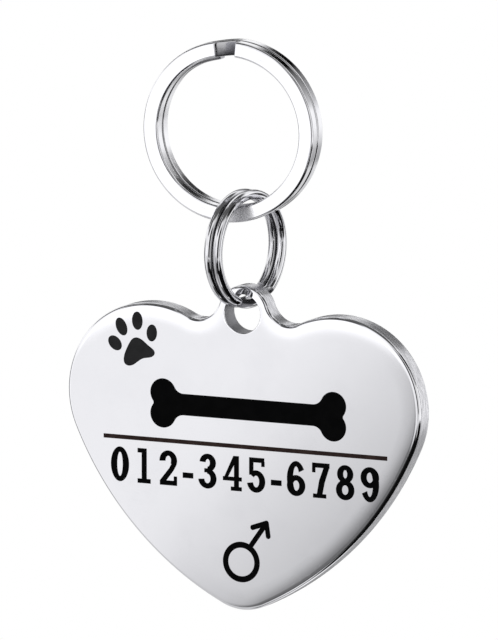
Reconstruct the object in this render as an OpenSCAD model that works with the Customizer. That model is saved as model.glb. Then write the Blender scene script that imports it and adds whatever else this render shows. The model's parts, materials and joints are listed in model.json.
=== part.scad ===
// Pet id tag: a polished heart plate that hangs from a small and a large split ring.
// The origin is the point inside the top of the large ring where a collar carries it.
// +Z is up, +X runs across the plate and +Y runs back through it.

/* [Heart plate] */
// Width across the two lobes
tag_w = 43.2; // [40:0.1:48]
// From the middle of the lug's hole down to the point
tag_drop = 33; // [30:0.1:37]
// Thickness of the plate
tag_t = 2.5; // [1.5:0.1:3]
// Radius of each lobe
lobe_r = 10.2; // [9:0.1:11.5]
// Height of the lobes' tops above the middle of the lug's hole
lobe_rise = 0.4; // [-0.4:0.1:1]
// Radius of the long bowed sides
side_r = 37; // [32:0.5:60]
// Radius of the point
tip_r = 6; // [4:0.1:8]
// Rounding of the front rim
front_rim_r = 0.4; // [0.2:0.05:0.6]
// Rounding of the back rim
back_rim_r = 0.25; // [0.1:0.05:0.4]

/* [Lug and hole] */
// Radius of the lug's round top
lug_r = 3.1; // [2.9:0.05:3.6]
// Radius of the hollows between the lug and the lobes
hollow_r = 2.8; // [2.2:0.1:3.6]
// Radius of the hole
hole_r = 2.15; // [2.05:0.05:2.4]
// Broken edge at both ends of the hole
hole_edge = 0.15; // [0.05:0.01:0.2]

/* [Large split ring] */
// Outer diameter
large_d = 20; // [18:0.1:24]
// Width of the flat wire, measured along the ring's radius
large_wire_w = 1.72; // [1.2:0.02:2]
// Thickness of one turn, measured along the ring's axis
large_wire_t = 1.54; // [1.1:0.02:1.7]
// Rounding of the flat wire's edges
large_edge_r = 0.2; // [0.05:0.01:0.4]
// Length of the ramp on which the wire crosses from the front turn to the back turn
large_ramp = 2.4; // [1.8:0.1:4]
// Place of its front wire end, as an angle round the ring from the top
large_ends_at = 5.3; // [0:0.1:20]
// Distance by which the back wire end is sprung inwards
large_tail_dip = 0.4; // [0:0.05:0.8]
// Angle over which that back end leaves the round
large_tail = 38; // [20:1:60]
// Turn of the ring about the vertical
large_yaw = 4.8; // [0:0.1:8]

/* [Small split ring] */
// Outer diameter
small_d = 13.1; // [12.6:0.1:16]
// Diameter of the round wire
small_wire_d = 1.08; // [0.9:0.02:1.2]
// Length of the ramp on which the wire crosses from one turn to the other
small_ramp = 2.4; // [1.8:0.1:4]
// Turn of the ring's axis about the vertical, away from square to the large ring
small_yaw = -9.5; // [-14:0.5:0]
// Place of its wire ends behind the lug, as an angle round the ring from the top
small_ends_at = 166; // [60:1:170]

/* [Fit] */
// Seam between the two turns of a split ring
seam = 0.1; // [0.05:0.01:0.15]
// Gap between a wire end and the ramp beside it
end_gap = 0.1; // [0.05:0.01:0.2]
// Clearance between pieces that hang in each other
hang_gap = 0.06; // [0.04:0.01:0.15]
// Distance of the small ring to the side of the large ring's lowest point
small_side = 1.5; // [0:0.1:2]
// Distance of the lug's hole to the side of the small ring's middle
hole_side = 0.2; // [0:0.05:0.3]

/* [Hidden] */

steel = "silver";
overrun = 0.5;

// Smoothness of the curves
arc_step = 4;
rim_steps = 4;
turn_steps = 76;
ramp_steps = 10;
corner_steps = 3;
hole_facets = 96;

// Share of a ramp that is bent at each of its ends
bend_share = 0.25;

// Share of the wire's half width and thickness that is broken off the edges of a cut end
cut_share = 0.12;

// Ring sizes that follow from the diameters
large_mean_r = (large_d - large_wire_w) / 2;
large_in_r = large_d / 2 - large_wire_w;
large_half_w = large_wire_t + seam / 2;
small_mean_r = (small_d - small_wire_d) / 2;
small_in_r = small_d / 2 - small_wire_d;
small_pitch = small_wire_d + seam;

// The large ring hangs from the origin by the inside of its top
large_c = [0, 0, -large_in_r];

// The small ring hangs over the bottom of the large ring. It first meets the flat wire's corner
// at the outer of its two turns, this far along the small ring and along the large ring.
yaw_apart = abs(large_yaw - small_yaw);
corner_run = (large_half_w + small_pitch / 2 * sin(yaw_apart)) / cos(yaw_apart);
corner_side = abs(small_side) + small_pitch / 2 * cos(yaw_apart) + corner_run * sin(yaw_apart);
corner_drop = sqrt(pow(large_in_r, 2) - pow(corner_side, 2));
small_c = large_c + [
    small_side * cos(large_yaw),
    small_side * sin(large_yaw),
    hang_gap - corner_drop - sqrt(pow(small_in_r, 2) - pow(corner_run, 2))
];

// The plate hangs on the small ring's wires, which first meet the top of its hole at the two faces
face_run = tag_t / 2 / cos(small_yaw);
wire_side = abs(hole_side) + tag_t / 2 * abs(tan(small_yaw)) + small_pitch / 2 / cos(small_yaw);
wire_rise = sqrt(pow(hole_r - small_wire_d / 2 - hang_gap, 2) - pow(wire_side, 2));
hole_c = small_c + [hole_side, 0, -sqrt(pow(small_mean_r, 2) - pow(face_run, 2)) - wire_rise];

// Arc centres of the plate's right half, seen from the front with the hole's middle at zero
lug_m = [0, 0];
lobe_m = [tag_w / 2 - lobe_r, lobe_rise - lobe_r];
tip_m = [0, tip_r - tag_drop];
side_m = meeting(tip_m, side_r - tip_r, lobe_m, side_r - lobe_r);
hollow_m = meeting(lug_m, lug_r + hollow_r, lobe_m, lobe_r + hollow_r);

echo(large_ring_least_gap_mm = least_gap(large_wound()));
echo(small_ring_least_gap_mm = least_gap(small_wound()));

function degrees(length, r) = length / r * 180 / PI;

// The point at distance r1 from c1 and r2 from c2, on the left of the way from c1 to c2
function meeting(c1, r1, c2, r2) =
    let (d = norm(c2 - c1), u = (c2 - c1) / d)
    let (along = (r1 * r1 - r2 * r2 + d * d) / (2 * d))
    c1 + along * u + sqrt(r1 * r1 - along * along) * [-u.y, u.x];

function heading(from, to) = atan2(to.y - from.y, to.x - from.x);

// Points on an arc from angle a0 up to, and without, angle a1
function arc(c, r, a0, a1) =
    let (n = ceil(abs(a1 - a0) / arc_step))
    [for (i = [0 : n - 1]) c + r * [cos(a0 + (a1 - a0) * i / n), sin(a0 + (a1 - a0) * i / n)]];

// Right half of the outline from the point to the top of the lug, drawn in by inset
function right_half(inset) = concat(
    arc(tip_m, tip_r - inset, -90, heading(side_m, tip_m)),
    arc(side_m, side_r - inset, heading(side_m, tip_m), heading(side_m, lobe_m)),
    arc(lobe_m, lobe_r - inset, heading(side_m, lobe_m), heading(lobe_m, hollow_m)),
    arc(hollow_m, hollow_r + inset, heading(hollow_m, lobe_m), heading(hollow_m, lug_m)),
    arc(lug_m, lug_r - inset, heading(lug_m, hollow_m), 90),
    [lug_m + [0, lug_r - inset]]
);

function outline(inset) =
    let (half = right_half(inset))
    concat(half, [for (i = [len(half) - 2 : -1 : 1]) [-half[i].x, half[i].y]]);

// Inset and depth of each ring of the plate's edge, from the front face round to the back face
function edge_profile() = concat(
    [for (i = [0 : rim_steps]) let (a = 90 * i / rim_steps)
        [front_rim_r * (1 - sin(a)), front_rim_r * (1 - cos(a)) - tag_t / 2]],
    [for (i = [0 : rim_steps]) let (a = 90 * i / rim_steps)
        [back_rim_r * (1 - cos(a)), tag_t / 2 - back_rim_r * (1 - sin(a))]]
);

// Side faces between rows of n points, two triangles to each cell
function skin(rows, n) = [
    for (i = [0 : rows - 2]) for (j = [0 : n - 1])
        let (k = (j + 1) % n)
        each [[i * n + j, i * n + k, i * n + n + k], [i * n + j, i * n + n + k, i * n + n + j]]
];

// Fans from a middle point to the n points of a row, for the first and for the last row of a loft
function start_fan(middle, n) = [for (j = [0 : n - 1]) [middle, (j + 1) % n, j]];

function end_fan(middle, first, n) = [for (j = [0 : n - 1]) [middle, first + j, first + (j + 1) % n]];

// A solid from rows of n points, closed at both ends by fans from the middles of those ends
module loft(rows, start, end) {
    n = len(rows[0]);
    total = len(rows) * n;
    polyhedron(
        concat([for (row = rows) each row], [start, end]),
        concat(start_fan(total, n), skin(len(rows), n), end_fan(total + 1, total - n, n))
    );
}

module plate_blank() {
    middle = lobe_m.y;
    rows = [for (e = edge_profile()) [for (p = outline(e[0])) [p.x, e[1], p.y]]];
    loft(rows, [0, -tag_t / 2, middle], [0, tag_t / 2, middle]);
}

module hole_cut() {
    rotate([90, 0, 0])
        cylinder(r = hole_r, h = tag_t + 2 * overrun, center = true, $fn = hole_facets);
    for (turn = [-90, 90])
        rotate([turn, 0, 0]) translate([0, 0, tag_t / 2 - hole_edge])
            cylinder(r1 = hole_r, r2 = hole_r + hole_edge + overrun, h = hole_edge + overrun, $fn = hole_facets);
}

// Corners of a wire's section: a rounded rectangle, or a circle where r is half of w and t
function wire_section(w, t, r) =
    let (reach = r / cos(45 / corner_steps))
    [for (q = [0 : 3]) for (i = [0 : corner_steps - 1])
        let (a = 90 * q + 90 * (i + 1 / 2) / corner_steps)
        let (corner = [(q == 0 || q == 3 ? 1 : -1) * (w / 2 - r), (q < 2 ? 1 : -1) * (t / 2 - r)])
        corner + reach * [cos(a), sin(a)]];

// Climb of a ramp from 0 to 1, straight but for a bend at each end
function climb(x) =
    let (b = bend_share, s = min(1, max(0, x)))
    s < b ? s * s / (2 * b * (1 - b)) :
    s > 1 - b ? 1 - pow(1 - s, 2) / (2 * b * (1 - b)) : (s - b / 2) / (1 - b);

function ease(x) = let (s = min(1, max(0, x))) s * s * (3 - 2 * s);

// A split ring is one wire wound twice, which crosses on a ramp from the front turn to the back turn.
// Each of its rows is one section of the wire. The ring's axis lies along Y, its front end stands at
// ends_at clockwise from the top, and its back end is sprung inwards by dip over the angle tail.
function wound(mean_r, w, t, edge_r, ramp, ends_at, dip, tail) =
    let (section = wire_section(w, t, edge_r))
    let (over = degrees(ramp, mean_r), turn = 360 - over - degrees(end_gap, mean_r))
    let (cut = degrees(cut_share * t / 2, mean_r), total = 2 * turn + over)
    let (angles = concat(
        [0, cut],
        [for (i = [1 : turn_steps - 1]) turn * i / turn_steps],
        [for (i = [0 : ramp_steps]) turn + over * i / ramp_steps],
        [for (i = [0 : turn_steps - 1]) 360 + turn * i / turn_steps],
        [total - cut, total]
    ))
    [for (a = angles)
        let (k = a == 0 || a == total ? 1 - cut_share : 1)
        let (r = mean_r - dip * ease((a - total + tail) / tail))
        let (y = (t + seam) * (climb((a - turn) / over) - 1 / 2))
        [for (p = section) [(r + k * p.x) * sin(ends_at + a), y + k * p.y, (r + k * p.x) * cos(ends_at + a)]]];

function large_wound() = wound(large_mean_r, large_wire_w, large_wire_t, large_edge_r,
    large_ramp, large_ends_at, large_tail_dip, large_tail);

function small_wound() = wound(small_mean_r, small_wire_d, small_wire_d, small_wire_d / 2,
    small_ramp, small_ends_at, 0, 1);

function middle(row) = [for (p = row) 1] * row / len(row);

// Least gap from the wire to its own next turn, measured between the points of their sections
function least_gap(rows) =
    let (turn = turn_steps + ramp_steps + 1, near = ramp_steps + 3, last = len(rows) - 1)
    min([for (i = [0 : last - turn + near]) for (j = [i + turn - near : min(last, i + turn + near)])
        for (p = rows[i]) for (q = rows[j]) norm(p - q)]);

module split_ring(rows) {
    loft(rows, middle(rows[0]), middle(rows[len(rows) - 1]));
}

module large_ring() {
    color(steel) translate(large_c) rotate([0, 0, large_yaw]) split_ring(large_wound());
}

module small_ring() {
    color(steel) translate(small_c) rotate([0, 0, 90 + small_yaw]) split_ring(small_wound());
}

module heart_tag() {
    color(steel) translate(hole_c) difference() {
        plate_blank();
        hole_cut();
    }
}

large_ring();
small_ring();
heart_tag();
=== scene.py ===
# Looks of a heart-shaped pet id tag that hangs on two split rings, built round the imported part.
# Sizes are in millimetres and angles in degrees until a mesh is placed in the frame.
import json
import math
import bpy
from mathutils import Matrix, Vector


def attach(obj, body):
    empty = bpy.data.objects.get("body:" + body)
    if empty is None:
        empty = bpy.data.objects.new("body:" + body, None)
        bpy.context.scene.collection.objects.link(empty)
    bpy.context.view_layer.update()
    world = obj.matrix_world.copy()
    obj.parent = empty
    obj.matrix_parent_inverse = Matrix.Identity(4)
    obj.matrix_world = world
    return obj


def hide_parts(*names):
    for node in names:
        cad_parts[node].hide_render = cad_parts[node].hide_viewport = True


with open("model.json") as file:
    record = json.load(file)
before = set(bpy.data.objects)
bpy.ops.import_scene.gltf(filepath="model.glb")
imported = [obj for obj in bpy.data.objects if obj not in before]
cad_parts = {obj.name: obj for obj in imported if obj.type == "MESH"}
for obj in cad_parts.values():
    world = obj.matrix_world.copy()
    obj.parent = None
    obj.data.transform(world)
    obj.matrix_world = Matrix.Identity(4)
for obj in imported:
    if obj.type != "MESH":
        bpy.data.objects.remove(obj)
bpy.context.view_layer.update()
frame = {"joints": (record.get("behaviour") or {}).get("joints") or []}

MM = 0.001
ORIGIN = Vector((0, 0, 0))
WHITE = (1, 1, 1, 1)

# Heart plate
TAG_W = 43.2
TAG_DROP = 33
TAG_T = 2.5
LOBE_R = 10.2
LOBE_RISE = 0.4
SIDE_R = 37
TIP_R = 6
LUG_R = 3.1
HOLLOW_R = 2.8
HOLE_R = 2.15
HOLE_EDGE = 0.15
FRONT_RIM_R = 0.4
BACK_RIM_R = 0.25
POLISH_REACH = 2.4
POLISH_DROP = 0.05
PLATE_MIDDLE = 15

# Split rings
LARGE_D = 20
LARGE_WIRE_W = 1.72
LARGE_WIRE_T = 1.54
LARGE_EDGE_R = 0.25
LARGE_RAMP = 2.4
LARGE_ENDS_AT = 5.3
LARGE_TAIL = 38
LARGE_TAIL_DIP = 0.4
LARGE_YAW = 4.8
SMALL_D = 13.1
SMALL_WIRE_D = 1.08
SMALL_RAMP = 2.4
SMALL_ENDS_AT = 166
SMALL_TAIL = 1
SMALL_TAIL_DIP = 0
SMALL_YAW = 90 - 9.5
SEAM = 0.1
END_GAP = 0.1
BEND_SHARE = 0.25
CUT_SHARE = 0.12

# Marks in the plate's front, filled with black
MARK_DEPTH = 0.12
FILL_BELOW = 0.015
RULE = (-17.1, 17.7, -15.0, -14.52)
FIGURES = "012-345-6789"
FIGURE_H = 3.9
FIGURE_BASE = -19.75
FIRST_FIGURE_X = -15.07
FIGURE_STEP = 2.99
DASH_STEP = 2.43
STROKE_LAP = 3

# Smoothness of the meshes
SHARP_ANGLE = 30
ARC_STEP = 1.5
STROKE_STEP = 6
CURVE_STEPS = 6
ELLIPSE_SIDES = 48
RIM_STEPS = 8
POLISH_STEPS = 8
TURN_STEPS = 220
RAMP_STEPS = 24
CORNER_STEPS = 6
FLAT_LEAD = 0.05
ROUND_WIRE_SIDES = 28
CUT_STEPS = 4
CUTTER_OVER = 0.5  # how far a cutter stands out of what it cuts

# Places on the wires for their materials
LEVEL = 0.499         # of a rise from -0.5 to 0.5: beyond it a wire has left its ramp
SEAM_FROM = 0.62      # share of half the wire's thickness beyond which its side lies in the seam
PATTERN_ROUND = 60    # degrees round the wire to one unit of its pattern
PATTERN_ALONG = 0.06  # units of the pattern to one millimetre along the wire
# Share of the painted seam shade that also falls on the outer side of each wire
LARGE_OUTER_SEAM_SHADE = 0.3
SMALL_OUTER_SEAM_SHADE = 1

# Finishes: colours, heights of relief in millimetres, and strengths of the die marks
PLATE_BRIGHT = (0.925, 0.925, 0.962)
PLATE_HAZY = (0.9, 0.9, 0.938)
WALL_GREY = (0.66, 0.66, 0.69)
BORE_DULL = (0.36, 0.36, 0.38)
# Painted shade on the upper part of the bore, where the small ring bears
BORE_TOP_SHADE = (0.05, 0.05, 0.055)
WIRE_BRIGHT = (0.92, 0.92, 0.95)
WIRE_HAZY = (0.84, 0.84, 0.88)
DRAWN_GREY = (0.72, 0.72, 0.75)
DIE_MARK_DARK = (0.16, 0.16, 0.18)
SHEARED_GREY = (0.5, 0.5, 0.53)
# Painted shade where a wire's two turns lie against each other and along its ramp
SEAM_SHADE_DARK = (0.12, 0.12, 0.13)
RUBBED_BRIGHT = (0.97, 0.97, 0.98)
PLATE_RELIEF = 0.02
LARGE_WIRE_RELIEF = 0.005
SMALL_WIRE_RELIEF = 0.0025
ENAMEL_RELIEF = 0.006
LARGE_DIE_MARKS = 0
SMALL_DIE_MARKS = 0.6
# Each enamel has its colour, its dusty colour and its gloss.
BLACK_ENAMEL = ((0.0012, 0.0012, 0.0014), (0.0022, 0.0022, 0.0024), 0.02)
SOFT_BLACK_ENAMEL = ((0.016, 0.016, 0.017), (0.021, 0.021, 0.022), 0.03)
BROWN_BLACK_ENAMEL = ((0.02, 0.012, 0.011), (0.03, 0.019, 0.017), 0.03)

# Camera
AZIMUTH = 26.5
ELEVATION = 8.9
CAMERA_AWAY = 1200
CAMERA_AIM = Vector((0.22, 0, -0.84))  # from the hole's middle
CAMERA_CLIP = (10, 20000)
PIXELS_PER_MM = 9.12
IMAGE_H = 640
SENSOR = 36

# Light. Each darker part of the room has a tone and its sides. A side is given as azimuth, elevation
# and the two cosines between which its soft border runs.
ROOM_LIGHT = 0.8
LAMP_POWER = 0.6
LAMP_D = 300
LAMP_PLACE = Vector((-100, -120, 350))
LAMP_AIM = Vector((0, 0, -50))
ROOM = {
    "upper_right_wall": (0.7, ((60, 25, 0.75, 0.87),)),
    "upper_left_flag": (0.06, ((-36, 42, 0.93, 0.965),)),
    "ceiling": (0.1, ((0, 90, 0.74, 0.86),)),
    "right_beam": (0.03, ((106, 34, 0.94, 0.97),)),
    "left_floor": (0.6, ((0, -90, 0.3, 0.5), (-95, 0, 0.0, 0.2))),
    "deep_floor": (0.1, ((-20, -79, 0.965, 0.98),)),
    "left_flag": (0.12, ((-92, -12, 0.93, 0.96),)),
    "right_floor": (0.004, ((0, -90, 0.2, 0.29), (80, 0, 0.08, 0.22), (0, 0, -0.87, -0.8))),
    "camera_side": (0.005, (
        (105, 0, -0.06, 0.02), (-62, 0, -0.36, -0.16), (32, 0, 0, 0.1),
        (0, 90, -0.24, -0.19), (0, -90, -0.7, -0.5),
    )),
    "front_foot": (0.02, ((-5, -27, 0.955, 0.975),)),
    "left_shelf": (0.03, ((-93, 38, 0.93, 0.96),)),
    "right_shelf": (0.02, ((82, 46, 0.965, 0.985),)),
    "back_right_shade": (0.04, ((137, 3, 0.95, 0.975),)),
}
# The back of the room is two rings of tones, one inside the other. Each has its inner and its outer border,
# as degrees from the middle of the back, and then the angle round the ring and the tone.
BACK_AZIMUTH = 184.8
JUST_UNDER_ONE = 0.99999  # keeps the arc cosine in its range
BACK_RINGS = {
    "outer_ring": ((15, 20), (38, 44), (
        (-180, 0.34), (-143, 0.4), (-52, 0.4), (-34, 0.5), (-24, 1.0), (56, 0.95), (60, 0.04),
        (64, 0.24), (110, 0.27), (150, 0.27), (180, 0.34),
    )),
    "inner_ring": ((5, 9), (26, 28), (
        (-180, 0.1), (-168, 0.14), (-158, 0.5), (-148, 0.32), (-136, 0.22), (-122, 0.27), (-108, 0.42),
        (-93, 0.6), (-80, 0.75), (-66, 0.5), (-52, 0.38), (-38, 0.5), (-28, 0.75), (-10, 1.05),
        (10, 1.05), (24, 0.58), (38, 0.36), (56, 0.2), (68, 0.09), (77, 0.002), (108, 0.002),
        (117, 0.4), (126, 1.0), (148, 1.0), (156, 0.05), (172, 0.06), (180, 0.1),
    )),
}
# Light panels near the tag, by azimuth, elevation, half width and height, tone and fades.
# A fade has its direction as seen from the tag, where it starts and ends from the panel's middle, and the
# tone at its end.
PANEL_AWAY = 160
PANEL_BORDER = 8
UP, LOWER_RIGHT = 1, 2
SIDE_FADES = ((LOWER_RIGHT, -6, 26, 0.66), (UP, 2, 20, 1.1))
PANELS = (
    ("key_panel", -AZIMUTH, -ELEVATION, (56, 75), 0.915, (
        (LOWER_RIGHT, -6.5, 25.5, 0.54), (LOWER_RIGHT, 19.5, 35.5, 0.15), (UP, 15, 27, 1.25),
    )),
    ("front_panel", 0, -2, (32, 34), 0.93, SIDE_FADES),
    ("right_panel", 45, -13, (22, 26), 0.93, SIDE_FADES),
    ("left_panel", -62, -13, (22, 26), 0.93, SIDE_FADES),
    ("back_right_panel", 135, -15, (26, 30), 0.93, SIDE_FADES),
    ("back_left_panel", -135, -15, (26, 30), 0.93, SIDE_FADES),
    ("back_panel", 180, -6, (30, 36), 0.93, ((UP, 4, -30, 0.62),)),
)
FLOOR_DOWN = 100
FLOOR_HALF = 600
FLOOR_TONE = 0.9
FLOOR_FADE = (100, 200)   # distances between which the floor fades towards plain white
FLOOR_WHITE = (0.4, 1.0)  # share of plain white at each of them


def joint_place(name):
    """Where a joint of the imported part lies, in millimetres"""
    place = next(j["pos_m"] for j in frame["joints"] if j["name"] == name)
    return Vector(place) / MM


LARGE_C = Vector((0, 0, LARGE_WIRE_W - LARGE_D / 2))
SMALL_C = joint_place("ring_swing")
HOLE_C = joint_place("tag_sway")
PLATE_C = HOLE_C - Vector((0, 0, PLATE_MIDDLE))
RINGS_MEET = LARGE_C + Vector((SMALL_C.x, 0, LARGE_WIRE_W / 2 - LARGE_D / 2))


def make_mesh(name, points, faces, centre, turn=0):
    """A mesh object from points in millimetres, turned about the vertical and placed by its centre"""
    turned = Matrix.Rotation(math.radians(turn), 4, "Z")
    place = Matrix.Translation(centre * MM) @ turned @ Matrix.Scale(MM, 4)
    mesh = bpy.data.meshes.new(name)
    mesh.from_pydata([place @ Vector(p) for p in points], [], faces)
    mesh.validate()
    piece = bpy.data.objects.new(name, mesh)
    bpy.context.scene.collection.objects.link(piece)
    return piece


def smooth(piece):
    """Smooth shading with crisp edges, where wide faces keep their own direction"""
    piece.data.shade_smooth()
    piece.data.set_sharp_from_angle(angle=math.radians(SHARP_ANGLE))
    weighted = piece.modifiers.new("weighted_normals", "WEIGHTED_NORMAL")
    weighted.keep_sharp = True
    weighted.weight = 100


def skin(rows, n):
    """Quads between closed rows of n points"""
    return [
        (i * n + j, (i + 1) * n + j, (i + 1) * n + (j + 1) % n, i * n + (j + 1) % n)
        for i in range(rows - 1)
        for j in range(n)
    ]


def loft(rows):
    """Points and faces of a closed solid whose rows are joined and whose ends are one face each"""
    n = len(rows[0])
    points = [p for row in rows for p in row]
    last = len(points) - n
    faces = skin(len(rows), n)
    faces.append(tuple(range(n)))
    faces.append(tuple(reversed(range(last, last + n))))
    return points, faces


def meeting(c1, r1, c2, r2):
    """The point at distance r1 from c1 and r2 from c2, on the left of the way from c1 to c2"""
    way = c2 - c1
    along = (r1 * r1 - r2 * r2 + way.length_squared) / (2 * way.length)
    u = way.normalized()
    return c1 + along * u + math.sqrt(r1 * r1 - along * along) * Vector((-u.y, u.x))


def heading(start, end):
    """Direction from one point to another, in degrees"""
    return math.degrees(math.atan2(end.y - start.y, end.x - start.x))


def arc(centre, r, start, stop, step=ARC_STEP):
    """Points on an arc from angle start up to, and without, angle stop"""
    n = math.ceil(abs(stop - start) / step)
    turns = [math.radians(start + (stop - start) * i / n) for i in range(n)]
    return [centre + Vector((r * math.cos(a), r * math.sin(a))) for a in turns]


def heart_outline(inset):
    """The plate's outline drawn in by inset, seen from the front with the hole's middle at zero"""
    lug = Vector((0, 0))
    lobe = Vector((TAG_W / 2 - LOBE_R, LOBE_RISE - LOBE_R))
    tip = Vector((0, TIP_R - TAG_DROP))
    side = meeting(tip, SIDE_R - TIP_R, lobe, SIDE_R - LOBE_R)
    hollow = meeting(lug, LUG_R + HOLLOW_R, lobe, LOBE_R + HOLLOW_R)
    half = (
        arc(tip, TIP_R - inset, -90, heading(side, tip))
        + arc(side, SIDE_R - inset, heading(side, tip), heading(side, lobe))
        + arc(lobe, LOBE_R - inset, heading(side, lobe), heading(lobe, hollow))
        + arc(hollow, HOLLOW_R + inset, heading(hollow, lobe), heading(hollow, lug))
        + arc(lug, LUG_R - inset, heading(lug, hollow), 90)
    )
    return half + [Vector((0, LUG_R - inset))] + [Vector((-p.x, p.y)) for p in reversed(half[1:])]


def edge_profile():
    """Inset and depth of the plate's rows: the face that polishing rolled off, the front rim, the back rim"""
    rolled = POLISH_REACH - FRONT_RIM_R
    slope = math.degrees(math.atan(2 * POLISH_DROP / rolled))
    rows = []
    for i in range(POLISH_STEPS):
        x = i / POLISH_STEPS
        rows.append((POLISH_REACH - rolled * x, POLISH_DROP * x * x))
    for i in range(RIM_STEPS + 1):
        a = math.radians(slope + (90 - slope) * i / RIM_STEPS)
        rows.append((FRONT_RIM_R * (1 - math.sin(a)), POLISH_DROP + FRONT_RIM_R * (1 - math.cos(a))))
    rows += [(0, POLISH_DROP + FRONT_RIM_R + FLAT_LEAD), (0, TAG_T - BACK_RIM_R - FLAT_LEAD)]
    for i in range(RIM_STEPS + 1):
        a = math.radians(90 * i / RIM_STEPS)
        rows.append((BACK_RIM_R * (1 - math.cos(a)), TAG_T - BACK_RIM_R * (1 - math.sin(a))))
    rows.append((BACK_RIM_R + FLAT_LEAD, TAG_T))
    return rows


def plate_blank(name, set_back=0):
    """The plate before its hole and marks are cut, with its front drawn back by set_back"""
    rows = [
        [(p.x, y - TAG_T / 2 + set_back, p.y) for p in heart_outline(inset)]
        for inset, y in edge_profile()
    ]
    return make_mesh(name, *loft(rows), HOLE_C)


def hole_cutter():
    """A round cutter for the hole, flared at both mouths to round their edges"""
    half = [(HOLE_R + HOLE_EDGE, -TAG_T / 2 - CUTTER_OVER)]
    for i in range(RIM_STEPS + 1):
        a = math.radians(90 * i / RIM_STEPS)
        half.append((HOLE_R + HOLE_EDGE * (1 - math.sin(a)), HOLE_EDGE * (1 - math.cos(a)) - TAG_T / 2))
    profile = half + [(r, -y) for r, y in reversed(half)]
    rows = [[(p.x, y, p.y) for p in arc(Vector((0, 0)), r, 0, 360)] for r, y in profile]
    return make_mesh("hole_cutter", *loft(rows), HOLE_C)


def slab(name, outline, front, back):
    """A closed outline seen from the front, as a solid between two depths in the plate"""
    rows = [[(x, y, z) for x, z in outline] for y in (front, back)]
    return make_mesh(name, *loft(rows), HOLE_C)


def bar(x0, x1, z0, z1):
    """A straight stroke along or up"""
    return [(x0, z0), (x1, z0), (x1, z1), (x0, z1)]


def band(cx, cz, rx, rz, start, stop, side, cap):
    """Part of an upright ring whose sides and caps differ in thickness"""
    n = math.ceil((stop - start) / STROKE_STEP)
    turns = [math.radians(start + (stop - start) * i / n) for i in range(n + 1)]
    outer = [(cx + rx * math.cos(a), cz + rz * math.sin(a)) for a in turns]
    inner = [(cx + (rx - side) * math.cos(a), cz + (rz - cap) * math.sin(a)) for a in turns]
    return outer + inner[::-1]


def ring_bands(cx, cz, rx, rz, side, cap):
    """A whole upright ring as two halves that lap each other"""
    return [band(cx, cz, rx, rz, a - STROKE_LAP, a + 180 + STROKE_LAP, side, cap) for a in (0, 180)]


def capsule(x0, z0, x1, z1, width):
    """A straight stroke with round ends"""
    start, end = Vector((x0, z0)), Vector((x1, z1))
    a = heading(start, end)
    r = width / 2
    points = arc(end, r, a - 90, a + 90, step=10) + arc(start, r, a + 90, a + 270, step=10)
    return [tuple(p) for p in points]


def ellipse(cx, cz, rx, rz, lean):
    """An upright ellipse leaned anticlockwise"""
    cos, sin = math.cos(math.radians(lean)), math.sin(math.radians(lean))
    points = []
    for i in range(ELLIPSE_SIDES):
        a = math.radians(360 / ELLIPSE_SIDES * i)
        x, z = rx * math.cos(a), rz * math.sin(a)
        points.append((cx + x * cos - z * sin, cz + x * sin + z * cos))
    return points


def closed_curve(knots):
    """A smooth closed line through its knots"""
    points = []
    n = len(knots)
    for i in range(n):
        p0, p1, p2, p3 = (Vector(knots[(i + k) % n]) for k in (-1, 0, 1, 2))
        for j in range(CURVE_STEPS):
            t = j / CURVE_STEPS
            q = 2 * p1 + (p2 - p0) * t + (2 * p0 - 5 * p1 + 4 * p2 - p3) * t * t
            points.append(tuple((q + (3 * p1 - p0 - 3 * p2 + p3) * t**3) / 2))
    return points


# Strokes of the figures, drawn one unit high
STEM = 0.195
CAP = 0.155
MID = 0.29


def half_turned(strokes):
    """Strokes turned half round about the middle of a figure"""
    return [[(2 * MID - x, 1 - z) for x, z in stroke] for stroke in strokes]


def figure_six():
    """A tall hook over a bowl"""
    return [band(MID, 0.5, MID, 0.5, 32, 270, STEM, CAP)] + ring_bands(MID, 0.3, MID, 0.3, STEM, CAP)


def figure_strokes():
    """Strokes of each figure and of the dash"""
    return {
        "0": ring_bands(MID, 0.5, MID, 0.5, STEM + 0.01, CAP),
        "1": [bar(0.21, 0.375, 0, 1), bar(0.08, 0.5, 0, 0.13), bar(0.08, 0.3, 0.87, 1)],
        "2": [
            band(MID, 0.71, 0.28, 0.29, -35, 185, STEM, CAP),
            [(0.02, 0.13), (0.2, 0.1), (0.45, 0.42), (0.53, 0.56), (0.39, 0.63), (0.32, 0.5)],
            bar(0.02, 0.57, 0, 0.14),
            bar(0.46, 0.57, 0.07, 0.27),
        ],
        "3": [
            band(MID, 0.74, 0.26, 0.26, -95, 175, STEM, CAP),
            band(MID - 0.01, 0.29, 0.29, 0.29, -175, 95, STEM, CAP),
            bar(0.18, 0.32, 0.46, 0.58),
        ],
        "4": [
            bar(0.35, 0.51, 0, 1),
            bar(0.25, 0.6, 0, 0.12),
            bar(0, 0.6, 0.28, 0.4),
            [(0, 0.3), (0.14, 0.34), (0.42, 0.86), (0.42, 1), (0.33, 1)],
        ],
        "5": [
            bar(0.06, 0.54, 0.86, 1),
            bar(0.44, 0.55, 0.75, 0.9),
            bar(0.06, 0.2, 0.5, 0.9),
            band(MID - 0.01, 0.32, 0.29, 0.32, -170, 138, STEM, CAP),
        ],
        "6": figure_six(),
        "7": [
            bar(0.02, 0.57, 0.86, 1),
            bar(0.02, 0.13, 0.72, 0.9),
            [(0.16, 0.06), (0.34, 0.06), (0.42, 0.45), (0.57, 0.9), (0.39, 0.9), (0.24, 0.5)],
            bar(0.05, 0.47, 0, 0.12),
        ],
        "8": (
            ring_bands(MID, 0.74, 0.255, 0.26, STEM, CAP - 0.01)
            + ring_bands(MID, 0.29, MID, 0.29, STEM, CAP)
        ),
        "9": half_turned(figure_six()),
        "-": [bar(0.12, 0.46, 0.25, 0.41)],
    }


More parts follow.
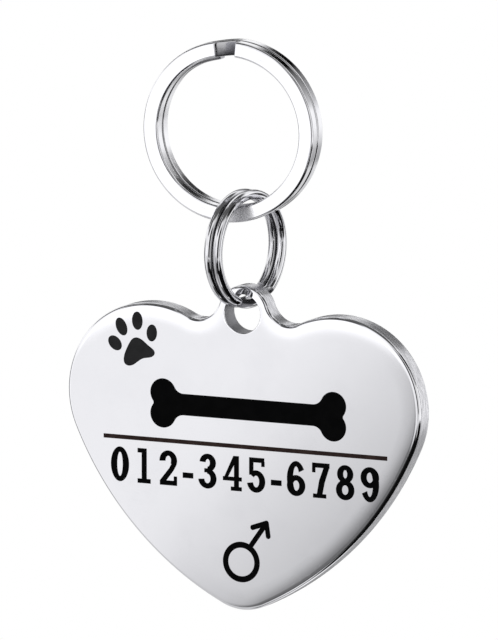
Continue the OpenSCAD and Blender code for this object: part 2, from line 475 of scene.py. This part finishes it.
def figures_row():
    """Strokes of the row of figures under the rule"""
    strokes = []
    drawn = figure_strokes()
    x = FIRST_FIGURE_X
    for i, figure in enumerate(FIGURES):
        if i:
            x += DASH_STEP if "-" in FIGURES[i - 1:i + 1] else FIGURE_STEP
        for stroke in drawn[figure]:
            strokes.append([(x + FIGURE_H * (u - MID), FIGURE_BASE + FIGURE_H * v) for u, v in stroke])
    return strokes


def paw_print():
    """Four toes and a pad"""
    toes = [
        ellipse(-15.66, -4.32, 0.7, 0.95, 48),
        ellipse(-14.86, -2.44, 0.66, 1.04, 25),
        ellipse(-12.9, -1.66, 0.66, 1.02, 3),
        ellipse(-11.11, -2.9, 0.65, 0.95, -4),
    ]
    pad = closed_curve([
        (-13.67, -3.87), (-13.05, -3.53), (-12.35, -3.72), (-11.6, -4.27), (-10.85, -4.82),
        (-10.8, -5.3), (-11.25, -5.62), (-12.2, -5.82), (-12.83, -6.2), (-13.4, -6.6),
        (-14, -6.74), (-14.48, -6.5), (-14.58, -5.9), (-14.32, -5.04),
    ])
    return toes + [pad]


def bone():
    """A plain bone: a shaft between two pairs of knobs, with every joint between them rounded"""
    middle = Vector((0.7, -10.6))
    half_length, half_height = 12, 2.75
    knob_r, notch_r, fillet_r, half_shaft = 1.58, 0.35, 1.2, 1.2
    knob = Vector((half_length - knob_r, half_height - knob_r))
    notch = Vector((knob.x + math.sqrt((knob_r + notch_r) ** 2 - knob.y**2), 0))
    fillet = Vector((0, half_shaft + fillet_r))
    fillet.x = knob.x - math.sqrt((knob_r + fillet_r) ** 2 - (fillet.y - knob.y) ** 2)
    quarter = (
        arc(notch, notch_r, 180, heading(notch, knob), step=8)
        + arc(knob, knob_r, heading(knob, notch), heading(knob, fillet), step=6)
        + arc(fillet, fillet_r, heading(fillet, knob), -90, step=8)
        + [Vector((fillet.x, half_shaft))]
    )
    upper = quarter + [Vector((-p.x, p.y)) for p in reversed(quarter)]
    whole = upper + [Vector((p.x, -p.y)) for p in reversed(upper[1:-1])]
    return [[tuple(middle + p) for p in whole]]


def sign():
    """A ring with an arrow to the upper right"""
    ring_r, ring_w, arrow_w = 2.27, 0.68, 0.6
    strokes = ring_bands(-0.1, -27.62, ring_r, ring_r, ring_w, ring_w)
    tip = (2.98, -23.05)
    for x, z in ((1.05, -25.75), (1.3, -23.65), (3.2, -24.5)):
        strokes.append(capsule(x, z, *tip, arrow_w))
    return strokes


def marks():
    """Every mark by the name of its fill"""
    return {
        "paw_fill": paw_print(),
        "bone_fill": bone(),
        "rule_fill": [bar(*RULE)],
        "figures_fill": figures_row(),
        "sign_fill": sign(),
    }


def cut(piece, operation, operand):
    """Applies one exact boolean of a piece with an object or with a collection of them"""
    boolean = piece.modifiers.new("cut", "BOOLEAN")
    boolean.operation = operation
    boolean.solver = "EXACT"
    if isinstance(operand, bpy.types.Collection):
        boolean.operand_type = "COLLECTION"
        boolean.collection = operand
    else:
        boolean.object = operand
    depsgraph = bpy.context.evaluated_depsgraph_get()
    made = bpy.data.meshes.new_from_object(piece.evaluated_get(depsgraph))
    piece.modifiers.remove(boolean)
    old = piece.data
    piece.data = made
    bpy.data.meshes.remove(old)


def group_of(pieces):
    """A collection of cutters"""
    group = bpy.data.collections.new("cutters")
    bpy.context.scene.collection.children.link(group)
    for piece in pieces:
        group.objects.link(piece)
    return group


def remove(pieces):
    """Deletes pieces that were only used to cut"""
    for piece in pieces:
        bpy.data.objects.remove(piece)


def make_fills():
    """The black fill of each mark, with its strokes joined, standing out of the plate's front until
    make_plate cuts it down
    """
    front, floor = -TAG_T / 2 - CUTTER_OVER, MARK_DEPTH - TAG_T / 2
    fills = []
    for name, strokes in marks().items():
        slabs = [slab("stroke", stroke, front, floor) for stroke in strokes]
        fill, rest = slabs[0], slabs[1:]
        fill.name = name
        if rest:
            group = group_of(rest)
            cut(fill, "UNION", group)
            bpy.data.collections.remove(group)
            remove(rest)
        fills.append(fill)
    return fills


def flat_section(width, thickness, edge_r):
    """A flat wire's section, as steps along the ring's radius and its axis, with leads at its corners"""
    points = []
    for q in range(4):
        x = (width / 2 - edge_r) * (1 if q in (0, 3) else -1)
        y = (thickness / 2 - edge_r) * (1 if q < 2 else -1)
        turns = [math.radians(90 * q + 90 * i / CORNER_STEPS) for i in range(CORNER_STEPS + 1)]
        corner = [(x + edge_r * math.cos(a), y + edge_r * math.sin(a)) for a in turns]
        cos, sin = math.cos(turns[0]), math.sin(turns[0])
        before = (corner[0][0] + FLAT_LEAD * sin, corner[0][1] - FLAT_LEAD * cos)
        after = (corner[-1][0] - FLAT_LEAD * cos, corner[-1][1] - FLAT_LEAD * sin)
        points += [before] + corner + [after]
    return points


def round_section(diameter):
    """A round wire's section, as steps along the ring's radius and its axis"""
    turns = [math.radians(360 * i / ROUND_WIRE_SIDES) for i in range(ROUND_WIRE_SIDES)]
    return [(diameter / 2 * math.cos(a), diameter / 2 * math.sin(a)) for a in turns]


def climb(x):
    """Climb of a ramp from 0 to 1, straight but for a bend at each end"""
    s = min(1, max(0, x))
    bend = 2 * BEND_SHARE * (1 - BEND_SHARE)
    if s < BEND_SHARE:
        return s * s / bend
    if s > 1 - BEND_SHARE:
        return 1 - (1 - s) ** 2 / bend
    return (s - BEND_SHARE / 2) / (1 - BEND_SHARE)


def ease(x):
    """A soft step from 0 to 1"""
    s = min(1, max(0, x))
    return s * s * (3 - 2 * s)


def add_values(piece, name, values):
    """One number for each point of a piece, for its material"""
    piece.data.attributes.new(name, "FLOAT", "POINT").data.foreach_set("value", values)


def wire_stations(edge, turn, over):
    """Angle along the wire and scale of its section: a rounded cut end, a turn, the ramp and the same back"""
    total = 2 * turn + over
    rounding = [math.radians(90 * i / CUT_STEPS) for i in range(CUT_STEPS + 1)]
    start = [(edge * (1 - math.cos(a)), 1 - CUT_SHARE * (1 - math.sin(a))) for a in rounding]
    along = [turn * i / TURN_STEPS for i in range(1, TURN_STEPS)]
    along += [turn + over * i / RAMP_STEPS for i in range(RAMP_STEPS + 1)]
    along += [turn + over + turn * i / TURN_STEPS for i in range(1, TURN_STEPS)]
    return start + [(a, 1) for a in along] + [(total - a, k) for a, k in reversed(start)]


def in_seam(side, rise):
    """How far a side of the wire lies in the seam, from 0 to 1: one side of a turn and both of the ramp do"""
    facing = abs(side) if abs(rise) <= LEVEL else -math.copysign(1, rise) * side
    return ease((facing - SEAM_FROM) / (1 - SEAM_FROM))


def wound_wire(
    name, section, mean_r, thickness, ramp, ends_at, tail, tail_dip, outer_seam_shade, centre, yaw,
):
    """One wire wound twice, which crosses on a ramp from the front turn to the back turn"""
    over = math.degrees(ramp / mean_r)
    turn = 360 - over - math.degrees(END_GAP / mean_r)
    total = 2 * turn + over
    edge = math.degrees(CUT_SHARE * thickness / 2 / mean_r)
    rows = []
    values = {"wire_length": [], "wire_round": [], "wire_seam_shade": [], "wire_end": []}
    for a, k in wire_stations(edge, turn, over):
        r = mean_r - tail_dip * ease((a - total + tail) / tail)
        rise = climb((a - turn) / over) - 0.5
        y = (thickness + SEAM) * rise
        t = math.radians(ends_at + a)
        x, z = math.sin(t), math.cos(t)
        rows.append([((r + k * u) * x, y + k * v, (r + k * u) * z) for u, v in section])
        for u, v in section:
            # Painted shade: the sides of the wire that face the seam between its turns, and both sides on the
            # ramp, are marked for darkening
            seam_shade = in_seam(v / (thickness / 2), rise) * (outer_seam_shade if u > 0 else 1)
            values["wire_length"].append(math.radians(a) * mean_r)
            values["wire_round"].append(math.degrees(math.atan2(v, u)) / PATTERN_ROUND)
            values["wire_seam_shade"].append(seam_shade)
            values["wire_end"].append(ease((1 - k) / CUT_SHARE))
    wire = make_mesh(name, *loft(rows), centre, yaw)
    for label, numbers in values.items():
        add_values(wire, label, numbers)
    return wire


def make_large_ring():
    """The flat ring that goes on the collar"""
    return wound_wire(
        "large_split_ring", flat_section(LARGE_WIRE_W, LARGE_WIRE_T, LARGE_EDGE_R),
        mean_r=(LARGE_D - LARGE_WIRE_W) / 2, thickness=LARGE_WIRE_T,
        ramp=LARGE_RAMP, ends_at=LARGE_ENDS_AT, tail=LARGE_TAIL, tail_dip=LARGE_TAIL_DIP,
        outer_seam_shade=LARGE_OUTER_SEAM_SHADE, centre=LARGE_C, yaw=LARGE_YAW,
    )


def make_small_ring():
    """The round-wire ring that joins the tag to the large ring"""
    return wound_wire(
        "small_split_ring", round_section(SMALL_WIRE_D),
        mean_r=(SMALL_D - SMALL_WIRE_D) / 2, thickness=SMALL_WIRE_D,
        ramp=SMALL_RAMP, ends_at=SMALL_ENDS_AT, tail=SMALL_TAIL, tail_dip=SMALL_TAIL_DIP,
        outer_seam_shade=SMALL_OUTER_SEAM_SHADE, centre=SMALL_C, yaw=SMALL_YAW,
    )


# Numbers of a Mix node's sockets for colours
UNDER_COLOUR, OVER_COLOUR = 6, 7
MIXED_COLOUR = 2


def node(tree, kind, **values):
    """A new node with its settings and, by input name or number, its values or links"""
    made = tree.nodes.new(kind)
    inputs = values.pop("inputs", {})
    for name, value in values.items():
        setattr(made, name, value)
    for name, value in inputs.items():
        if isinstance(value, bpy.types.NodeSocket):
            tree.links.new(value, made.inputs[name])
        else:
            made.inputs[name].default_value = value
    return made


def math_node(tree, operation, a, b=0):
    """One step of arithmetic on numbers"""
    return node(tree, "ShaderNodeMath", operation=operation, inputs={0: a, 1: b}).outputs[0]


def vector_node(tree, operation, a, b):
    """One step of arithmetic on vectors"""
    return node(tree, "ShaderNodeVectorMath", operation=operation, inputs={0: a, 1: b}).outputs[0]


def length(tree, vector):
    """Length of a vector"""
    return node(tree, "ShaderNodeVectorMath", operation="LENGTH", inputs={0: vector}).outputs["Value"]


def dot(tree, direction, axis):
    """How far a direction goes along an axis"""
    inputs = {0: direction, 1: axis}
    return node(tree, "ShaderNodeVectorMath", operation="DOT_PRODUCT", inputs=inputs).outputs["Value"]


def plus(tree, value, mask, amount):
    """A number with an amount added where a mask is on"""
    return math_node(tree, "ADD", value, math_node(tree, "MULTIPLY", mask, amount))


def blend(tree, factor, a, b):
    """A mix of two numbers"""
    return node(tree, "ShaderNodeMix", inputs={"Factor": factor, "A": a, "B": b}).outputs[0]


def paint(tree, factor, under, over):
    """A colour laid over another colour, which may come from a node"""
    if isinstance(under, tuple):
        under = (*under, 1)
    inputs = {"Factor": factor, UNDER_COLOUR: under, OVER_COLOUR: (*over, 1)}
    return node(tree, "ShaderNodeMix", data_type="RGBA", inputs=inputs).outputs[MIXED_COLOUR]


def fade(tree, value, low, high, start=0.0, end=1.0):
    """A number that goes softly from start to end while a value goes from low to high"""
    return node(
        tree, "ShaderNodeMapRange", interpolation_type="SMOOTHSTEP",
        inputs={"Value": value, "From Min": low, "From Max": high, "To Min": start, "To Max": end},
    ).outputs["Result"]


def noise(tree, place, scale, detail, roughness=0.5):
    """A cloudy pattern from 0 to 1"""
    return node(
        tree, "ShaderNodeTexNoise",
        inputs={"Vector": place, "Scale": scale, "Detail": detail, "Roughness": roughness},
    ).outputs["Fac"]


def stretched(tree, place, scale, turn=(0, 0, 0)):
    """Places turned by degrees and then scaled along each axis"""
    turned = node(
        tree, "ShaderNodeMapping", vector_type="TEXTURE",
        inputs={"Vector": place, "Rotation": [math.radians(a) for a in turn]},
    ).outputs[0]
    return vector_node(tree, "MULTIPLY", turned, scale)


def surface_place(tree):
    """Place on the piece in millimetres, which moves with the piece"""
    place = node(tree, "ShaderNodeTexCoord").outputs["Object"]
    inputs = {0: place, "Scale": 1 / MM}
    return node(tree, "ShaderNodeVectorMath", operation="SCALE", inputs=inputs).outputs[0]


def new_group(name, inputs, outputs):
    """An empty node group, with its inputs and where its outputs go"""
    group = bpy.data.node_groups.new(name, "ShaderNodeTree")
    for label, value in inputs.items():
        kind = "NodeSocketVector" if value is None else "NodeSocketFloat"
        socket = group.interface.new_socket(label, in_out="INPUT", socket_type=kind)
        if value is not None:
            socket.default_value = value
    for label in outputs:
        group.interface.new_socket(label, in_out="OUTPUT", socket_type="NodeSocketFloat")
    return group, node(group, "NodeGroupInput").outputs


def group_ends(group, values):
    """A group with its outputs joined to its values"""
    node(group, "NodeGroupOutput", inputs=values)
    return group


def use_group(tree, group, **inputs):
    """A group placed in a material with its own values"""
    return node(tree, "ShaderNodeGroup", node_tree=group, inputs=inputs).outputs


def make_buffing_haze():
    """Cloudy haze and slow waves that a buffing wheel leaves in a mirror finish"""
    inputs = {"Place": None, "Cloud": 6.0, "Wave": 5.0}
    group, given = new_group("buffing_haze", inputs, ("Haze", "Height"))
    cloud = noise(group, given["Place"], math_node(group, "DIVIDE", 1.0, given["Cloud"]), 4.0, 0.6)
    wave = noise(group, given["Place"], math_node(group, "DIVIDE", 1.0, given["Wave"]), 1.0)
    return group_ends(group, {"Haze": fade(group, cloud, 0.4, 0.7), "Height": wave})


def make_hairlines():
    """Fine scratches from handling, in three directions, thinned out by patches"""
    group, given = new_group("hairlines", {"Place": None, "Fineness": 3.0, "Amount": 0.5}, ("Lines",))
    threshold = math_node(group, "SUBTRACT", 0.8, math_node(group, "MULTIPLY", given["Amount"], 0.2))
    lines = 0.0
    for turn in ((20, 15, 0), (-35, 70, 10), (10, 130, -25)):
        run = stretched(group, given["Place"], (0.045, 2.5, 2.5), turn)
        line = math_node(group, "GREATER_THAN", noise(group, run, given["Fineness"], 0.0), threshold)
        lines = math_node(group, "MAXIMUM", line, lines)
    patch = fade(group, noise(group, given["Place"], 0.3, 2.0), 0.42, 0.6)
    return group_ends(group, {"Lines": math_node(group, "MULTIPLY", lines, patch)})


def make_rim_rub():
    """Where a rounded edge stands between two faces, rubbed brighter and duller in spots"""
    group, given = new_group("rim_rub", {"Place": None, "Facing": 0.0, "Spots": 2.0}, ("Rub",))
    facing = math_node(group, "ABSOLUTE", given["Facing"])
    edge = math_node(group, "MULTIPLY", facing, math_node(group, "SUBTRACT", 1.0, facing))
    rim = fade(group, edge, 0.06, 0.22)
    spots = fade(group, noise(group, given["Place"], given["Spots"], 3.0), 0.4, 0.65)
    return group_ends(group, {"Rub": math_node(group, "MULTIPLY", rim, spots)})


def make_enamel_grain():
    """Grain of baked enamel: small pits, cloudy gloss and a little dust in the tone"""
    inputs = {"Place": None, "Grain": 9.0}
    group, given = new_group("enamel_grain", inputs, ("Tone", "Gloss", "Height"))
    grain = noise(group, given["Place"], given["Grain"], 3.0)
    cloud = noise(group, given["Place"], 0.7, 2.0)
    return group_ends(group, {
        "Tone": fade(group, cloud, 0.35, 0.65),
        "Gloss": fade(group, math_node(group, "ADD", grain, cloud), 0.8, 1.2),
        "Height": grain,
    })


def new_material(name):
    """A node material with its Principled shader, its tree and its piece's places"""
    material = bpy.data.materials.new(name)
    material.use_nodes = True
    tree = material.node_tree
    return material, tree, tree.nodes["Principled BSDF"], surface_place(tree)


def bump(tree, shader, height, relief):
    """Relief of a given height in millimetres"""
    inputs = {"Height": height, "Distance": relief * MM, "Strength": 1.0}
    made = node(tree, "ShaderNodeBump", inputs=inputs)
    tree.links.new(made.outputs["Normal"], shader.inputs["Normal"])


def facing_front(tree):
    """How far the surface looks to the piece's front or back: -1 to 1"""
    normal = node(tree, "ShaderNodeTexCoord").outputs["Normal"]
    return node(tree, "ShaderNodeSeparateXYZ", inputs={0: normal}).outputs["Y"]


def plate_steel_material():
    """Mirror-polished plate: buffed faces, a wall with streaks from blanking, and a dull bore with painted
    shade over its upper part
    """
    material, tree, shader, place = new_material("mirror_polished_plate")
    facing = facing_front(tree)
    haze = use_group(tree, buffing_haze, Place=place, Cloud=7.0, Wave=9.0)
    lines = use_group(tree, hairlines, Place=place, Fineness=3.0, Amount=0.2)["Lines"]
    rub = use_group(tree, rim_rub, Place=place, Facing=facing, Spots=1.5)["Rub"]
    wall = fade(tree, math_node(tree, "ABSOLUTE", facing), 0.35, 0.1)
    streaks = noise(tree, stretched(tree, place, (0.5, 7.0, 0.5)), 1.0, 3.0)
    blotches = noise(tree, stretched(tree, place, (1.3, 3.0, 1.3)), 1.0, 3.0, 0.65)
    worn = fade(tree, math_node(tree, "ADD", streaks, blotches), 0.85, 1.15)
    from_hole = vector_node(tree, "SUBTRACT", place, HOLE_C)
    over_hole = node(tree, "ShaderNodeSeparateXYZ", inputs={0: from_hole}).outputs["Z"]
    hole_distance = length(tree, vector_node(tree, "MULTIPLY", from_hole, (1, 0, 1)))
    near_hole = fade(tree, hole_distance, HOLE_R + 0.3, HOLE_R + 0.1)
    bore = math_node(tree, "MULTIPLY", wall, near_hole)
    # Painted shade over the bore's upper part
    shaded_bore_top = math_node(tree, "MULTIPLY", bore, fade(tree, over_hole, 0.4, 1.5))
    colour = paint(tree, haze["Haze"], PLATE_BRIGHT, PLATE_HAZY)
    colour = paint(tree, math_node(tree, "MULTIPLY", wall, worn), colour, WALL_GREY)
    colour = paint(tree, bore, colour, BORE_DULL)
    # Paints the shade at the top of the bore
    colour = paint(tree, shaded_bore_top, colour, BORE_TOP_SHADE)
    colour = paint(tree, math_node(tree, "MULTIPLY", rub, 0.5), colour, RUBBED_BRIGHT)
    tree.links.new(colour, shader.inputs["Base Color"])
    shader.inputs["Metallic"].default_value = 1
    rough = fade(tree, haze["Haze"], 0.0, 1.0, 0.05, 0.1)
    for mask, amount in ((wall, 0.2), (bore, 0.2), (lines, 0.06)):
        rough = plus(tree, rough, mask, amount)
    tree.links.new(rough, shader.inputs["Roughness"])
    height = math_node(tree, "MULTIPLY", haze["Height"], 0.35)
    height = plus(tree, height, lines, -0.015)
    height = plus(tree, height, math_node(tree, "MULTIPLY", wall, streaks), 0.6)
    bump(tree, shader, height, PLATE_RELIEF)
    return material


def wire_steel_material(name, die_marks, relief):
    """Bright spring wire: drawing lines, rubbed corners, sheared ends, scuffs where the rings meet, and
    painted shade in the seam between its turns
    """
    material, tree, shader, place = new_material(name)
    given = {
        label: node(tree, "ShaderNodeAttribute", attribute_name=label).outputs["Fac"]
        for label in ("wire_length", "wire_round", "wire_seam_shade", "wire_end")
    }
    along = math_node(tree, "MULTIPLY", given["wire_length"], PATTERN_ALONG)
    run = node(tree, "ShaderNodeCombineXYZ", inputs={0: along, 1: given["wire_round"]}).outputs[0]
    drawn = noise(tree, run, 4.0, 3.0, 0.6)
    fine = noise(tree, run, 14.0, 2.0)
    haze = use_group(tree, buffing_haze, Place=place, Cloud=3.0, Wave=2.5)
    lines = use_group(tree, hairlines, Place=place, Fineness=3.5, Amount=0.5)["Lines"]
    rub = use_group(tree, rim_rub, Place=place, Facing=facing_front(tree), Spots=2.5)["Rub"]
    patchy = fade(tree, haze["Haze"], 0.0, 1.0, 0.82, 1.0)
    # Painted shade in the seam, made patchy by the haze
    seam_shade = math_node(tree, "MULTIPLY", given["wire_seam_shade"], patchy)
    scuffed = fade(tree, length(tree, vector_node(tree, "SUBTRACT", place, RINGS_MEET)), 2.8, 1.4)
    colour = paint(tree, haze["Haze"], WIRE_BRIGHT, WIRE_HAZY)
    colour = paint(tree, fade(tree, fine, 0.5, 0.75, 0.0, 0.6), colour, DRAWN_GREY)
    if die_marks:
        marked = noise(tree, run, 2.4, 0.0)
        colour = paint(tree, fade(tree, marked, 0.54, 0.66, 0.0, die_marks), colour, DIE_MARK_DARK)
    colour = paint(tree, math_node(tree, "MULTIPLY", rub, 0.4), colour, RUBBED_BRIGHT)
    colour = paint(tree, given["wire_end"], colour, SHEARED_GREY)
    # Paints the seam's shade dark
    colour = paint(tree, seam_shade, colour, SEAM_SHADE_DARK)
    tree.links.new(colour, shader.inputs["Base Color"])
    shader.inputs["Metallic"].default_value = 1
    rough = fade(tree, haze["Haze"], 0.0, 1.0, 0.04, 0.1)
    for mask, amount in ((lines, 0.12), (given["wire_end"], 0.25), (seam_shade, 0.3), (scuffed, 0.35)):
        rough = plus(tree, rough, mask, amount)
    tree.links.new(rough, shader.inputs["Roughness"])
    height = plus(tree, drawn, fine, 0.15)
    height = plus(tree, height, haze["Height"], 0.5)
    bump(tree, shader, height, relief)
    return material


def enamel_material(name, colour, dusty, gloss):
    """Baked enamel in a mark, whose tone goes a little towards a dusty one"""
    material, tree, shader, place = new_material(name)
    grain = use_group(tree, enamel_grain, Place=place, Grain=9.0)
    tree.links.new(paint(tree, grain["Tone"], colour, dusty), shader.inputs["Base Color"])
    tree.links.new(fade(tree, grain["Gloss"], 0.0, 1.0, 0.4, 0.65), shader.inputs["Roughness"])
    shader.inputs["Specular IOR Level"].default_value = gloss
    bump(tree, shader, grain["Height"], ENAMEL_RELIEF)
    return material


def look_along(azimuth, elevation):
    """Unit vector to a place round the object: azimuth 0 is in front of it and 90 at its right"""
    a, e = math.radians(azimuth), math.radians(elevation)
    return Vector((math.sin(a) * math.cos(e), -math.cos(a) * math.cos(e), math.sin(e)))


def back_angles(tree, direction):
    """Degrees from the middle of the room's back, and degrees round it from the right towards the top"""
    back = look_along(BACK_AZIMUTH, 0)
    right = Vector((back.y, -back.x, 0))
    nearness = math_node(tree, "MULTIPLY", dot(tree, direction, back), JUST_UNDER_ONE)
    away = math_node(tree, "ARCCOSINE", nearness)
    around = math_node(tree, "ARCTAN2", dot(tree, direction, (0, 0, 1)), dot(tree, direction, right))
    return [math_node(tree, "DEGREES", a) for a in (away, around)]


def tone_ring(tree, around, tones):
    """Tones round a ring, from the left over the bottom, the right and the top to the left again"""
    share = math_node(tree, "ADD", math_node(tree, "DIVIDE", around, 360.0), 0.5)
    ramp = node(tree, "ShaderNodeValToRGB", inputs={0: share})
    stops = ramp.color_ramp.elements
    stops.remove(stops[1])
    for i, (angle, tone) in enumerate(tones):
        stop = stops[0] if i == 0 else stops.new(angle / 360 + 0.5)
        stop.position = angle / 360 + 0.5
        stop.color = (tone, tone, tone, 1)
    return ramp.outputs[0]


def mix_shaders(tree, factor, a, b):
    """A mix of two shaders"""
    return node(tree, "ShaderNodeMixShader", inputs={0: factor, 1: a, 2: b}).outputs[0]


def make_world():
    """A white room whose darker parts show only in the steel"""
    world = bpy.data.worlds.new("studio")
    bpy.context.scene.world = world
    world.use_nodes = True
    tree = world.node_tree
    tree.nodes.clear()
    direction = node(tree, "ShaderNodeTexCoord").outputs["Generated"]
    away, around = back_angles(tree, direction)
    tone = 1.0
    for grey, sides in ROOM.values():
        mask = 1.0
        for azimuth, elevation, low, high in sides:
            side = fade(tree, dot(tree, direction, look_along(azimuth, elevation)), low, high)
            mask = math_node(tree, "MULTIPLY", side, mask)
        tone = blend(tree, mask, tone, grey)
    for inner, outer, tones in BACK_RINGS.values():
        mask = math_node(tree, "MULTIPLY", fade(tree, away, *inner), fade(tree, away, *reversed(outer)))
        tone = blend(tree, mask, tone, tone_ring(tree, around, tones))
    path = node(tree, "ShaderNodeLightPath").outputs
    lit, seen, mirrored = (
        node(tree, "ShaderNodeBackground", inputs={"Color": WHITE, "Strength": level}).outputs[0]
        for level in (ROOM_LIGHT, 1.0, tone)
    )
    indirect = mix_shaders(tree, path["Is Glossy Ray"], lit, mirrored)
    surface = mix_shaders(tree, path["Is Camera Ray"], indirect, seen)
    node(tree, "ShaderNodeOutputWorld", inputs={"Surface": surface})


def stage_sheet(name, centre, across, up, half_w, half_h):
    """A flat sheet of the stage, drawn by its middle and its two directions"""
    corners = [(-1, -1), (1, -1), (1, 1), (-1, 1)]
    points = [centre + across * half_w * i + up * half_h * j for i, j in corners]
    sheet = make_mesh(name, points, [(0, 1, 2, 3)], ORIGIN)
    return sheet


def glow_tree(name, sheet):
    """An empty node tree for a sheet of the stage"""
    material = bpy.data.materials.new(name)
    material.use_nodes = True
    sheet.data.materials.append(material)
    material.node_tree.nodes.clear()
    return material.node_tree


def make_panel(name, azimuth, elevation, half, tone, fades):
    """A light panel with soft borders that only the steel mirrors, graded over its height and width"""
    towards = look_along(azimuth, elevation)
    across = Vector((-towards.y, towards.x, 0)).normalized()
    up = towards.cross(across)
    centre = PLATE_C + towards * PANEL_AWAY
    panel = stage_sheet(name, centre, across, up, *half)
    panel.visible_camera = False
    panel.visible_diffuse = False
    panel.visible_shadow = False
    tree = glow_tree(name, panel)
    place = node(tree, "ShaderNodeNewGeometry").outputs["Position"]
    from_centre = vector_node(tree, "SUBTRACT", place, centre * MM)
    along = [dot(tree, from_centre, axis / MM) for axis in (across, up, (across - up).normalized())]
    for axis, low, high, end in fades:
        tone = blend(tree, fade(tree, along[axis], low, high), tone, end)
    solid = 1.0
    for axis, reach in enumerate(half):
        aside = math_node(tree, "ABSOLUTE", along[axis])
        solid = math_node(tree, "MULTIPLY", fade(tree, aside, reach, reach - PANEL_BORDER), solid)
    glow = node(tree, "ShaderNodeEmission", inputs={"Color": WHITE, "Strength": tone}).outputs[0]
    clear = node(tree, "ShaderNodeBsdfTransparent").outputs[0]
    node(tree, "ShaderNodeOutputMaterial", inputs={"Surface": mix_shaders(tree, solid, clear, glow)})


def make_floor():
    """A pale floor under the hanging tag: it takes the tag's soft shadow, and from below it is clear"""
    centre = Vector((0, 0, -FLOOR_DOWN))
    floor = stage_sheet("floor", centre, Vector((1, 0, 0)), Vector((0, 1, 0)), FLOOR_HALF, FLOOR_HALF)
    floor.visible_glossy = False
    tree = glow_tree("pale_floor", floor)
    path = node(tree, "ShaderNodeLightPath").outputs
    tone = (FLOOR_TONE, FLOOR_TONE, FLOOR_TONE, 1)
    matt = node(tree, "ShaderNodeBsdfDiffuse", inputs={"Color": tone}).outputs[0]
    white = node(tree, "ShaderNodeEmission", inputs={"Color": WHITE, "Strength": 1.0}).outputs[0]
    clear = node(tree, "ShaderNodeBsdfTransparent").outputs[0]
    geometry = node(tree, "ShaderNodeNewGeometry").outputs
    away = length(tree, geometry["Position"])
    far = fade(tree, away, *(d * MM for d in FLOOR_FADE), *FLOOR_WHITE)
    seen = mix_shaders(tree, path["Is Camera Ray"], matt, mix_shaders(tree, far, matt, white))
    surface = mix_shaders(tree, geometry["Backfacing"], seen, clear)
    node(tree, "ShaderNodeOutputMaterial", inputs={"Surface": surface})


def make_lamp():
    """A soft lamp above the tag, which only gives the floor's shadow a direction"""
    data = bpy.data.lights.new("soft_lamp", "AREA")
    data.shape = "DISK"
    data.size = LAMP_D * MM
    data.energy = LAMP_POWER
    lamp = bpy.data.objects.new("soft_lamp", data)
    lamp.location = LAMP_PLACE * MM
    lamp.rotation_euler = (LAMP_PLACE - LAMP_AIM).to_track_quat("Z", "Y").to_euler()
    lamp.visible_glossy = False
    bpy.context.scene.collection.objects.link(lamp)


def make_camera():
    """A long lens that looks at the middle of the photographed view"""
    back = look_along(AZIMUTH, ELEVATION)
    aim = HOLE_C + CAMERA_AIM
    data = bpy.data.cameras.new("camera")
    data.sensor_width = SENSOR
    data.lens = SENSOR * CAMERA_AWAY / (IMAGE_H / PIXELS_PER_MM)
    data.clip_start, data.clip_end = (d * MM for d in CAMERA_CLIP)
    camera = bpy.data.objects.new("camera", data)
    camera.location = (aim + back * CAMERA_AWAY) * MM
    camera.rotation_euler = (-back).to_track_quat("-Z", "Y").to_euler()
    bpy.context.scene.collection.objects.link(camera)
    bpy.context.scene.camera = camera


def make_plate(fills):
    """The plate with its hole and the marks cut into it, and the fills cut down to lie in the marks"""
    plate = plate_blank("heart_plate")
    cutter = hole_cutter()
    group = group_of(fills + [cutter])
    cut(plate, "DIFFERENCE", group)
    bpy.data.collections.remove(group)
    remove([cutter])
    core = plate_blank("core", FILL_BELOW)
    for fill in fills:
        cut(fill, "INTERSECT", core)
    remove([core])
    return plate


make_camera()
make_world()
for panel in PANELS:
    make_panel(*panel)
make_floor()
make_lamp()

buffing_haze = make_buffing_haze()
hairlines = make_hairlines()
rim_rub = make_rim_rub()
enamel_grain = make_enamel_grain()
plate_steel = plate_steel_material()
large_wire_steel = wire_steel_material("bright_flat_wire", LARGE_DIE_MARKS, LARGE_WIRE_RELIEF)
small_wire_steel = wire_steel_material("bright_round_wire", SMALL_DIE_MARKS, SMALL_WIRE_RELIEF)
black_enamel = enamel_material("black_enamel", *BLACK_ENAMEL)
grey_enamel = enamel_material("soft_black_enamel", *SOFT_BLACK_ENAMEL)
brown_enamel = enamel_material("brown_black_enamel", *BROWN_BLACK_ENAMEL)

fills = make_fills()
plate = make_plate(fills)
large_ring = make_large_ring()
small_ring = make_small_ring()

for piece, body, slot, steel in (
    (plate, "heart_tag", "plate_steel", plate_steel),
    (large_ring, "large_ring", "ring_steel", large_wire_steel),
    (small_ring, "small_ring", "ring_steel", small_wire_steel),
):
    smooth(piece)
    piece.data.materials.append(steel)
    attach(piece, body)
    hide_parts(body)

enamels = {"paw_fill": grey_enamel, "rule_fill": brown_enamel}
for fill in fills:
    fill.data.materials.append(enamels.get(fill.name, black_enamel))
    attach(fill, "heart_tag")

bpy.context.scene.view_settings.view_transform = "Standard"
